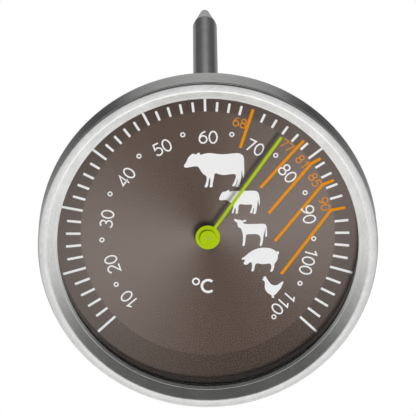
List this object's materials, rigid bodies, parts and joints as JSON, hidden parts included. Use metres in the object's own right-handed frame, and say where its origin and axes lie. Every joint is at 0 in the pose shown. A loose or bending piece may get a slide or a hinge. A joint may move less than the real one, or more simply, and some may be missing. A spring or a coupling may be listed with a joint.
{
  "type": "meat thermometer",
  "caption": "Dial meat thermometer: round steel head with a glass-covered dial and green pointer on a straight pointed probe.",
  "frame": {"origin": "on the probe's axis, at the face of the rear collar where the stem leaves it", "axes": "+Y back along the probe to its point, +Z the dial's 12 o'clock, +X to the right when the dial is faced"},
  "size_m": [0.055, 0.1467, 0.055],
  "materials": {
    "case_steel": "satin, spun",
    "bezel_steel": "brushed round",
    "stem_steel": "satin, ground",
    "inner_steel": "plain",
    "bimetal_strip": "rolled strip",
    "bearing_brass": "turned",
    "clear_glass": "polished flat",
    "seal_rubber": "matt black",
    "spacer_black": "matt black",
    "dial_brown": "satin metallic brown",
    "dial_white_ink": "printed",
    "dial_orange_ink": "printed",
    "pointer_green": "satin lime green"
  },
  "bodies": {
    "head_and_probe": {"case_cup": "case_steel", "bezel_ring": "bezel_steel", "lens_gasket": "seal_rubber", "lens": "clear_glass", "lens_spacer": "spacer_black", "dial_plate": "dial_brown", "dial_carrier": "inner_steel", "stem_collar": "stem_steel", "collar_seal": "seal_rubber", "lock_washer": "inner_steel", "collar_nut": "inner_steel", "stem_tube": "stem_steel", "probe_tip": "stem_steel", "upper_bearing": "bearing_brass", "spindle_guide": "bearing_brass", "lower_bearing": "bearing_brass", "helix_anchor": "inner_steel", "bimetal_helix": "bimetal_strip"},
    "pointer": {"spindle": "inner_steel", "spindle_collar": "bearing_brass", "helix_coupling": "inner_steel", "pointer_hub": "pointer_green", "pointer_needle": "pointer_green"}
  },
  "joints": [
    {"name": "pointer_turn", "type": "hinge", "parent": "head_and_probe", "child": "pointer", "pos_m": [0, 0, 0], "axis": [0, 1, 0], "range_deg": [-168.4, 97.6], "stiffness_Nm_per_rad": 0.0008, "deforming": ["bimetal_helix"]}
  ]
}
